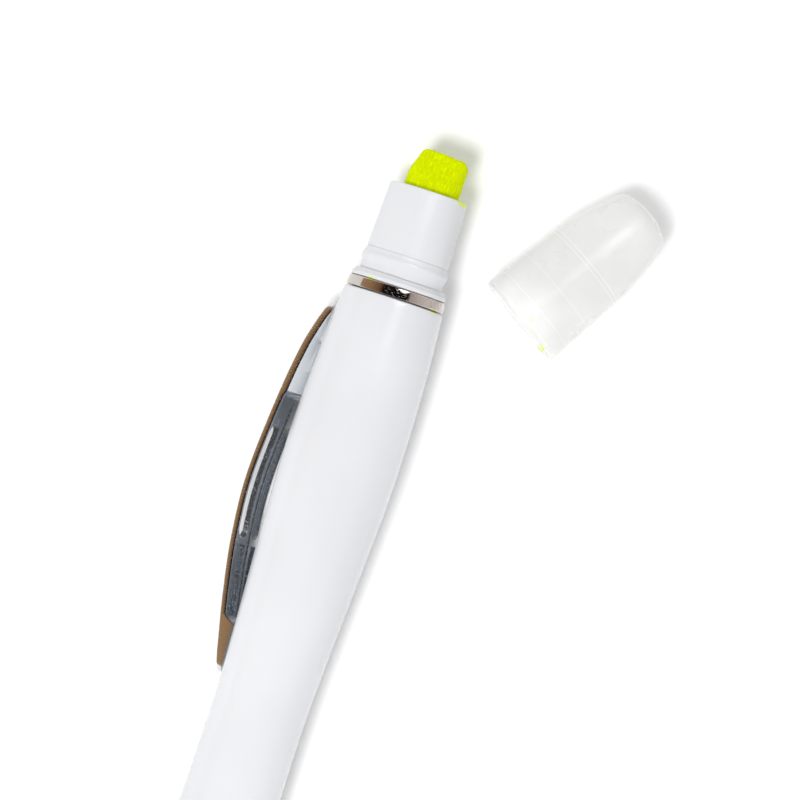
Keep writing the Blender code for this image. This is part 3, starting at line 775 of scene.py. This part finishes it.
def makeClip():
    v = clipValues
    count = int((v["end"] - v["start"]) / v["step"])
    stations = [v["start"] + v["step"] * k for k in range(count)]
    for low, high in (v["rootEnd"], v["padStart"]):
        stations += [low + (high - low) * k / 10 for k in range(11)]
    stations += [v["start"] + 0.08, v["start"] + 0.2, v["end"] - 0.25, v["end"] - 0.1, v["end"]]
    stations = sorted(set(round(s, 2) for s in stations))
    rings = [[(x, -s, z) for x, z in clipSection(s)] for s in stations]
    form = loftForm(rings)
    # the root and the pad sit astride the barrel
    near = [(s, r + v["clear"]) for s, r in barrelRun if 14 < s < 64]
    form = carve(form, turnForm([(near[0][0], 0)] + near + [(near[-1][0], 0)], 128))
    for side in (-1, 1):
        form = carve(form, slotForm(side))
        for run in v["panels"]:
            form = carve(form, panelForm(side, run))
    form = carve(form, dishForm())
    form = carve(form, ribForm(), "UNION")
    form = carve(form, tongueForm(), "UNION")
    start, end = v["footRun"]
    foot = boxForm((-v["footHalf"], -end, v["footLow"]),
                   (v["footHalf"], -start, valueAt(barrelRun, start) + 0.6), 0.12)
    form = carve(form, foot, "UNION")
    form.normal_update()
    # underside faces get the painted-shade chrome, and under the root the painted-reflection chrome
    for face in form.faces:
        middle = face.calc_center_median()
        inside = abs(middle.x) < valueAt(v["width"], -middle.y) / 2 - v["rimSkin"]
        if inside and face.normal.z < 0.3 and -middle.y < v["padStart"][0] + 0.4:
            face.material_index = 2 if -middle.y < v["rootEnd"][0] else 1
    piece = makePiece("spring_clip", form, penPlace, clipChrome, "clip",
                      ["pocket_clip"], sharp=24)
    for paint in (paintedShadeChrome, paintedReflectionChrome):      # material 1 and 2 of the faces above
        piece.data.materials.append(paint)
    return piece


makeClip()
print("clip and rings done")


# bullet cap, lying loose beside the pen
capValues = {
    "outer": [(0.45, 5.95), (1.2, 5.95), (1.95, 5.87), (3.8, 5.77), (7.5, 5.68), (10.4, 5.6),
              (12.2, 5.47), (14.1, 5.1), (16.0, 4.74), (17.6, 4.34), (18.7, 3.98)],
    "length": 20.2, "tip": 3.72, "wall": 0.62,
    "lipLine": 2.3,         # end of the thick lip round the mouth
    "snap": 5.6,            # ring that clicks behind the holder's bead
    "seat": (9.3, 10.5),    # double step that seals on the holder's end
    "rings": [(0.45, 0.07, 0.08), (2.3, 0.06, 0.05), (5.6, 0.07, 0.04), (9.85, 0.06, 0.07),
              (10.35, 0.06, 0.07)],         # station, half width and extra cover of each
}


def onCap(angle, radius, along):
    return capPlace @ Vector((radius * math.cos(angle), along, radius * math.sin(angle)))


def frostedPaint(spots):
    # natural polypropylene, moulded in a spark-eroded tool: milky, with a soft shine
    paint, tree, shader, place = newPaint("frostedPolypropylene", "#F4F5F4", {
        "IOR": 1.49, "Specular IOR Level": 0.6,
        "Emission Strength": 0.045})    # painted glow that brightens the milky wall
    base = tint(tree, place, 5.0, "#F6F6F5", "#EFEFEE")
    tree.links.new(base, shader.inputs["Base Color"])
    vary(tree, shader, place, 3.0, 0.26, 0.34, "Roughness")
    # light crosses more plastic where the wall is seen edge on, so it covers more there
    facing = addNode(tree, "ShaderNodeLayerWeight", {"Blend": 0.35})
    cover = addNode(tree, "ShaderNodeMapRange", {"To Min": 0.3, "To Max": 0.8},
                    {"Value": facing.outputs["Facing"]})
    # the rings inside are thicker plastic, so they show through as whiter lines
    away = addNode(tree, "ShaderNodeVectorMath", {"operation": "SUBTRACT", 1: onCap(0, 0, 0)},
                   {0: place})
    axis = (onCap(0, 0, 1) - onCap(0, 0, 0)).normalized()
    along = addNode(tree, "ShaderNodeVectorMath", {"operation": "DOT_PRODUCT", 1: axis},
                    {0: away.outputs["Vector"]})
    thicker = cover.outputs["Result"]
    for station, half, more in capValues["rings"]:
        ring = addNode(tree, "ShaderNodeMath", {"operation": "COMPARE", 1: station * mm,
                                                2: half * mm}, {0: along.outputs["Value"]})
        total = addNode(tree, "ShaderNodeMath", {"operation": "MULTIPLY_ADD", 1: more},
                        {0: ring.outputs["Value"], 2: thicker})
        total.use_clamp = True
        thicker = total.outputs["Value"]
    tree.links.new(thicker, shader.inputs["Alpha"])
    erosion = addNode(tree, "ShaderNodeTexNoise", {"Scale": perMm(0.18), "Detail": 3.0},
                      {"Vector": place})
    relief(tree, shader, erosion.outputs["Fac"], 0.01, 0.6)
    stain(tree, shader, [spotMask(tree, place, *spot) for spot in spots],
          paintValues["inkYellow"])
    return paint


frosted = frostedPaint([(onCap(-0.72, 5.6, 0.15), (0.8, 0.65, 0.8), 0.5),
                        (onCap(1.43, 5.5, 0.95), (0.3, 0.4, 0.3), 0.6),
                        (onCap(1.23, 5.5, 0.25), (0.3, 0.3, 0.3), 0.6),
                        (onCap(0.84, 5.5, 0.95), (0.3, 0.3, 0.3), 0.6),
                        (onCap(2.19, 5.5, 3.8), (0.3, 0.3, 0.3), 0.6)])


def makeCap():
    v = capValues
    outer = smoothRun(v["outer"], 5)
    length, tip, wall = v["length"], v["tip"], v["wall"]
    lip, snap, (seatStart, seatEnd) = v["lipLine"], v["snap"], v["seat"]
    skin = [(0, 5.78, 0.16)] + outer
    skin += [(length - 0.92, tip - 0.02, 0.5), (length - 0.5, tip - 1.05, 0.6),
             (length - 0.17, tip - 2.3, 0.6), (length - 0.06, 0)]
    inside = [(length - 0.95, 0), (length - 1.0, 1.6), (length - 1.2, 2.7, 0.3),
              (length - 1.9, valueAt(outer, length - 1.9) - wall - 0.25)]
    inside += [(s, valueAt(outer, s) - wall - 0.22) for s in (16.8, 15.0, 13.2)]
    inside += [(seatEnd + 0.2, 4.75, 0.1), (seatEnd, 4.6, 0.1), (seatEnd - 0.45, 4.6, 0.1),
               (seatEnd - 0.5, 4.86, 0.1), (seatStart, 4.88, 0.1), (seatStart - 0.1, 5.02, 0.1)]
    inside += [(snap + 0.45, 5.1), (snap, 5.02, 0.15), (snap - 0.45, 5.14)]
    inside += [(lip + 0.15, 5.2, 0.05), (lip, 5.33, 0.05), (0, 5.42, 0.12)]
    form = turnForm(rounded((skin + inside)[::-1], 4), 144, forward=1)
    return makePiece("frosted_cap", form, capPlace, frosted, "cap",
                     ["highlighter_cap"], sharp=26)


makeCap()
print("cap done")


# ballpoint end: shell, soft grip and nose
lowerValues = {
    "shell": [(83.02, 5.74), (90.0, 5.885), (96.9, 6.05), (103.75, 6.2)],
    "edge": 0.25,
    "core": 5.3, "gripEnd": 126.0, "bore": 4.6,
    "spigot": 4.3, "spigotStart": 77.0, "spigotBore": 3.55,
}
gripValues = {
    "start": 104.02, "end": 125.98, "inner": 5.6,
    "swell": [(104.02, 6.2), (109.0, 6.68), (114.0, 6.85), (120.0, 6.58), (125.98, 6.05)],
    "grooves": (106.5, 123.5, 14),          # first, last, how many
    "grooveDepth": 0.26, "grooveHalf": 0.24,
}
noseValues = {
    "shell": [(126.3, 5.88), (130.2, 4.95), (134.0, 3.45), (137.2, 2.12)],
    "tip": 137.7, "tipRadius": 1.82, "bore": 1.45,
    "line": 127.3,          # decorative groove
}


def makeLowerBarrel():
    v = lowerValues
    shell = smoothRun(v["shell"], 10)
    start, end = shell[0], shell[-1]
    skin = [(start[0], start[1], v["edge"])] + shell[4:-3] + [(end[0], end[1], v["edge"])]
    outline = rounded([(v["spigotStart"], v["spigotBore"], 0.1), (v["spigotStart"], v["spigot"],
                       0.2), (start[0], v["spigot"])] + skin
                      + [(end[0], v["core"]), (v["gripEnd"], v["core"], 0.1),
                         (v["gripEnd"], v["bore"]), (84.0, v["bore"]), (84.0, v["spigotBore"])])
    return makePiece("lower_shell", turnForm(outline, 128), penPlace, glossWhite, "lower_barrel",
                     ["lower_barrel"])


def makeGrip():
    v = gripValues
    swell = smoothRun(v["swell"], 14)
    first, last, count = v["grooves"]
    centres = [first + (last - first) * k / (count - 1) for k in range(count)]
    half, skin = v["grooveHalf"], []
    marks = [s for s, _ in swell[3:-3] if all(abs(s - c) > 2 * half for c in centres)]
    for centre in centres:
        marks += [centre - 1.7 * half, centre - half, centre, centre + half, centre + 1.7 * half]
    for station in sorted(marks):
        radius = valueAt(swell, station)
        near = min(abs(station - c) for c in centres)
        if near < 0.5 * half:
            radius -= v["grooveDepth"]
        elif near < 1.2 * half:
            radius -= v["grooveDepth"] * 0.45
        skin.append((station, radius))
    outline = rounded([(v["start"], v["inner"], 0.1), (v["start"], 6.2, 0.3)] + skin
                      + [(v["end"], 6.05, 0.3), (v["end"], v["inner"], 0.1)])
    return makePiece("ribbed_grip", turnForm(outline, 128), penPlace, gripPaint(), "lower_barrel",
                     ["grip_sleeve"], sharp=50)


def makeNose():
    v = noseValues
    shell = smoothRun(v["shell"], 14)
    line = v["line"]
    skin = [p for p in shell[2:] if abs(p[0] - line) > 0.3]
    groove = [(line - 0.2, valueAt(shell, line - 0.2), 0.04), (line, valueAt(shell, line) - 0.14,
              0.05), (line + 0.2, valueAt(shell, line + 0.2), 0.04)]
    skin = sorted(skin + groove, key=lambda p: p[0])
    outline = rounded([(119.0, 3.4, 0.1), (119.0, 4.3, 0.2), (126.12, 4.3),
                       (126.12, 5.87, 0.18)] + skin
                      + [(v["tip"], v["tipRadius"], 0.15), (v["tip"], v["bore"], 0.08),
                         (131.8, v["bore"]), (131.8, 2.28), (130.0, 2.28), (126.0, 3.4)])
    return makePiece("chrome_nose", turnForm(outline, 128), penPlace, ringChrome, "lower_barrel",
                     ["nose_cone"], sharp=28)


makeLowerBarrel()
makeGrip()
makeNose()


# what shows of the refill, and the spring round it
refillValues = {
    "neckStart": 127.0, "neckEnd": 130.5, "pointEnd": 136.2,
    "tube": 1.15, "shank": 0.9, "ball": 0.35,
}
springValues = {
    "start": 119.3, "end": 131.3, "radius": 1.78, "wire": 0.2, "turns": 8, "deadTurns": 1.5,
    "seat": 131.8, "shortened": 0.64,       # share of its length with the point out
}
springSteel = turnedMetal("springSteel", "#B9BABD", "#A3A5A8", 0.24, 0.08)
brassMetal = turnedMetal("turnedBrass", "#D9B871", "#C4A057", 0.22, 0.06)
nickelMetal = turnedMetal("nickelTube", "#C3BFB8", "#B2AEA6", 0.26, 0.12)


def makePoint():
    v = refillValues
    outline = [(v["neckStart"], 0), (v["neckStart"], v["tube"], 0.1),
               (v["neckEnd"], v["tube"], 0.15), (v["neckEnd"] + 0.45, v["shank"], 0.15),
               (134.0, v["shank"], 0.2), (135.7, 0.5, 0.15), (136.2, 0.4, 0.05), (136.2, 0)]
    makePiece("brass_point", turnForm(rounded(outline), 64), penPlace, brassMetal, "refill",
              ["refill_point"])
    form = bmesh.new()
    bmesh.ops.create_uvsphere(form, u_segments=32, v_segments=24, radius=v["ball"])
    bmesh.ops.translate(form, verts=form.verts, vec=(0, -(v["pointEnd"] + 0.02 + v["ball"]), 0))
    makePiece("writing_ball", form, penPlace, springSteel, "refill", ["refill_ball"])


def makeSpring():
    # closed turns at both ends and open ones between, spun as three runs of one wire
    v = springValues
    form = bmesh.new()
    bmesh.ops.create_circle(form, radius=v["wire"], segments=12)
    bmesh.ops.translate(form, verts=form.verts, vec=(v["radius"], 0, 0))
    dead, live = v["deadTurns"], v["turns"] - 2
    closed = 2.1 * v["wire"]
    reach = v["end"] - v["start"]
    edges = form.edges[:]
    for turns, length in ((dead, dead * closed), (live, reach - 2 * dead * closed),
                          (dead, dead * closed)):
        steps = round(turns * 32)
        spun = bmesh.ops.spin(form, geom=edges, cent=(0, 0, 0), axis=(0, 1, 0),
                              dvec=(0, -length / steps, 0), angle=2 * math.pi * turns,
                              steps=steps)
        edges = [item for item in spun["geom_last"] if isinstance(item, bmesh.types.BMEdge)]
    bmesh.ops.translate(form, verts=form.verts, vec=(0, -v["start"], 0))
    bmesh.ops.holes_fill(form, edges=[edge for edge in form.edges if edge.is_boundary], sides=0)
    piece = makePiece("coil_spring", form, penPlace, springSteel, "lower_barrel",
                      ["return_spring"], sharp=60)
    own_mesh(piece)
    return piece


makePoint()
makeSpring()
print("ballpoint end done")


# finishes of the inner pieces that keep their own shape
inkedFibre = mouldedPlastic("inkedFibreRod", "#CFE02C", "#B9CC14", 0.8)
clearFilm = mouldedPlastic("polyesterFilm", "#E6EAE6", "#DCE2DC", 0.22,
                           {"Transmission Weight": 0.6})
naturalAcetal = mouldedPlastic("naturalAcetal", "#E4E1D8", "#D8D4C8", 0.42)
nitrileRubber = mouldedPlastic("nitrileRubber", "#1B1B1B", "#262626", 0.7)
for paint, names in ((inkedFibre, ["ink_reservoir"]), (clearFilm, ["reservoir_film"]),
                     (naturalAcetal, ["reservoir_plug", "cam_tube", "cam_end_cap",
                                      "guide_sleeve", "plunger"]),
                     (nitrileRubber, ["friction_ring"]), (nickelMetal, ["refill_tube"]),
                     (inkPaint(), ["refill_ink"])):
    for name in names:
        for holder in frame["nodes"][name].material_slots:
            holder.material = paint


# white table, soft light and camera
studioValues = {
    "turn": 18.17,          # the camera is turned this far about the vertical, in degrees
    "aim": (4.36, -24.23),  # mm from the holder's end face: across, and along the pen
    "frame": 94.1,          # mm seen across the picture at the height of the pen
    "distance": 450.0,
    "sky": 0.6,             # soft light from all round
    "keyPower": 2.35,
    "keySize": 0.15,
    "keyFrom": (-0.22, -0.22, 1.0),         # left, towards the near end, and up
    "keyDistance": 0.6,
    "lampFrom": (0.265, 0.423, 0.866), "lamp": 10.0,
    "lampCone": (0.965, 0.985),     # cosines of its soft rim
    "tableGlow": 0.04,      # the table is a lit white sweep, so shadows on it stay pale
}


def makeTable():
    form = bmesh.new()
    bmesh.ops.create_grid(form, x_segments=1, y_segments=1, size=3.0)
    mesh = bpy.data.meshes.new("table")
    form.to_mesh(mesh)
    form.free()
    paint, tree, shader, place = newPaint("whiteSweep", "#F8F8F8", {
        "Specular IOR Level": 0.1, "Emission Strength": studioValues["tableGlow"]})
    vary(tree, shader, place, 30.0, 0.85, 0.95, "Roughness")
    mesh.materials.append(paint)
    table = bpy.data.objects.new("table", mesh)
    table.location.z = -0.02 * mm
    bpy.context.scene.collection.objects.link(table)


def makeWorld():
    # the dark of the camera straight overhead, warm wood on one side, pale wall on the other
    world = bpy.data.worlds.new("studio")
    world.use_nodes = True
    tree = world.node_tree
    soft = tree.nodes["Background"]
    soft.inputs["Color"].default_value = hexColour("#FFFFFF")
    soft.inputs["Strength"].default_value = studioValues["sky"]
    direction = addNode(tree, "ShaderNodeTexCoord").outputs["Generated"]
    parts = addNode(tree, "ShaderNodeSeparateXYZ", {}, {"Vector": direction})
    angle = addNode(tree, "ShaderNodeMath", {"operation": "ARCTAN2"},
                    {0: parts.outputs["X"], 1: parts.outputs["Z"]})
    share = addNode(tree, "ShaderNodeMapRange", {"From Min": -math.pi, "From Max": math.pi},
                    {"Value": angle.outputs["Value"]})
    ramp = addNode(tree, "ShaderNodeValToRGB", {}, {"Fac": share.outputs["Result"]})
    stops = [(-105, "#F2F2F2"), (-99, "#C4A17C"), (-60, "#A88661"), (-38, "#7A5A40"),
             (-31, "#1A1613"), (0, "#101012"), (30, "#1F1D1E"), (36, "#C4BAB6"),
             (60, "#E4DAD6"), (92, "#F4F2F1")]
    elements = ramp.color_ramp.elements
    while len(elements) < len(stops):
        elements.new(0.5)
    for element, (degrees, code) in zip(elements, stops):
        element.position = (degrees + 180) / 360
        element.color = hexColour(code)
    # a lamp beyond the far end of the cap, seen only as a soft streak
    towards = Vector(studioValues["lampFrom"]).normalized()
    outer, inner = studioValues["lampCone"]
    beside = addNode(tree, "ShaderNodeVectorMath", {"operation": "DOT_PRODUCT", 1: towards},
                     {0: direction})
    lamp = addNode(tree, "ShaderNodeMapRange", {"From Min": outer, "From Max": inner,
                                                "To Min": 1.0, "To Max": studioValues["lamp"]},
                   {"Value": beside.outputs["Value"]})
    lit = addNode(tree, "ShaderNodeMix", {"data_type": "RGBA", 7: hexColour("#FFFFFF")},
                  {6: ramp.outputs["Color"]})
    glow = addNode(tree, "ShaderNodeMapRange", {"From Min": outer, "From Max": inner},
                   {"Value": beside.outputs["Value"]})
    tree.links.new(glow.outputs["Result"], lit.inputs["Factor"])
    mirrored = addNode(tree, "ShaderNodeBackground", {},
                       {"Color": lit.outputs[2], "Strength": lamp.outputs["Result"]})
    path = addNode(tree, "ShaderNodeLightPath")
    mix = addNode(tree, "ShaderNodeMixShader", {}, {0: path.outputs["Is Glossy Ray"],
                                                    1: soft.outputs["Background"],
                                                    2: mirrored.outputs["Background"]})
    tree.links.new(mix.outputs["Shader"], tree.nodes["World Output"].inputs["Surface"])
    bpy.context.scene.world = world


def makeLight():
    v = studioValues
    turn = Matrix.Rotation(math.radians(v["turn"]), 4, "Z")
    towards = (turn @ Vector(v["keyFrom"])).normalized()
    data = bpy.data.lights.new("softbox", "AREA")
    data.shape = "SQUARE"
    data.size = v["keySize"]
    data.energy = v["keyPower"]
    light = bpy.data.objects.new("softbox", data)
    aim = penOrigin + Vector((0, -0.03, 0))
    light.location = aim + towards * v["keyDistance"]
    light.rotation_euler = towards.to_track_quat("Z", "Y").to_euler()
    light.visible_glossy = False
    bpy.context.scene.collection.objects.link(light)


def makeCamera():
    v = studioValues
    data = bpy.data.cameras.new("camera")
    data.sensor_width = 36
    data.lens = 36 * v["distance"] / v["frame"]
    data.clip_start = 0.01
    camera = bpy.data.objects.new("camera", data)
    camera.location = (penOrigin.x + v["aim"][0] * mm, penOrigin.y + v["aim"][1] * mm,
                       penOrigin.z + v["distance"] * mm)
    camera.rotation_euler = (0, 0, math.radians(v["turn"]))
    bpy.context.scene.collection.objects.link(camera)
    bpy.context.scene.camera = camera


makeTable()
makeWorld()
makeLight()
makeCamera()
bpy.context.scene.view_settings.view_transform = "Standard"
print("stage done")
